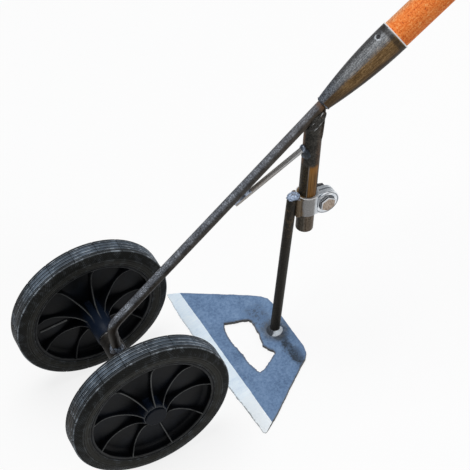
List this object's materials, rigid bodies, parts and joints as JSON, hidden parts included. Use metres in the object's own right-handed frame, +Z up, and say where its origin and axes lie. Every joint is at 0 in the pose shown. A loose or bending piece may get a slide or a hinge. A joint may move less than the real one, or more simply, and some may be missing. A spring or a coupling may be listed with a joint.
{
  "type": "double wheel hoe",
  "caption": "Push hoe with small side-by-side wheels, a cranked bar, a painted pole in a rolled socket, and a flat bevelled blade on a sliding clamp.",
  "frame": {"origin": "on the ground under the middle of the whole hoe", "axes": "+X along the axle to the right wheel, +Y from the wheels back to the pole's end, +Z up"},
  "size_m": [0.2334, 1.18, 0.7797],
  "materials": {
    "dark_steel": "dark mill scale, worn bright along the top",
    "brown_steel": "heat-browned and oiled",
    "blue_steel": "blued, brown on the underside",
    "axle_steel": "bright drawn",
    "weld_metal": "rough weld, heat-tinted",
    "zinc": "zinc plated",
    "bolt_steel": "plated, worn to bare steel",
    "nut_steel": "black oxide",
    "blade_steel": "blue-grey plate with a ground bevel",
    "bush_brass": "plain turned",
    "wheel_plastic": "moulded black",
    "cap_plastic": "moulded black",
    "tyre_rubber": "solid black rubber, dusty",
    "painted_wood": "orange-red paint over wood grain"
  },
  "bodies": {
    "frame": {"main_bar": "dark_steel", "axle_tube": "dark_steel", "axle_tube_weld": "weld_metal", "axle": "axle_steel", "axle_clips": "axle_steel", "axle_washers": "axle_steel", "handle_socket": "blue_steel", "socket_weld": "weld_metal", "handle": "painted_wood", "socket_nail": "weld_metal", "post": "brown_steel", "post_weld": "weld_metal", "brace_rod": "dark_steel", "brace_welds": "weld_metal"},
    "wheel_right": {"wheel_center_right": "wheel_plastic", "tyre_right": "tyre_rubber", "hub_sleeve_right": "bush_brass", "hub_cap_right": "cap_plastic"},
    "wheel_left": {"wheel_center_left": "wheel_plastic", "tyre_left": "tyre_rubber", "hub_sleeve_left": "bush_brass", "hub_cap_left": "cap_plastic"},
    "blade_clamp": {"clamp_collar": "zinc", "clamp_nut": "nut_steel", "shank": "brown_steel", "shank_weld": "weld_metal", "blade": "blade_steel", "blade_weld": "weld_metal"},
    "clamp_bolt": {"clamp_bolt": "bolt_steel"}
  },
  "joints": [
    {"name": "wheel_right_spin", "type": "hinge", "parent": "frame", "child": "wheel_right", "pos_m": [0.0755, -0.50103, 0.089], "axis": [1, 0, 0], "continuous": true},
    {"name": "wheel_left_spin", "type": "hinge", "parent": "frame", "child": "wheel_left", "pos_m": [-0.0755, -0.50103, 0.089], "axis": [1, 0, 0], "continuous": true},
    {"name": "blade_height", "type": "slide", "parent": "frame", "child": "blade_clamp", "axis": [0, 0.1564, 0.9877], "range_m": [-0.025, 0.045]},
    {"name": "clamp_bolt_turn", "type": "hinge", "parent": "blade_clamp", "child": "clamp_bolt", "pos_m": [0, -0.24266, 0.18065], "axis": [1, 0, 0], "range_deg": [0, 360]}
  ]
}
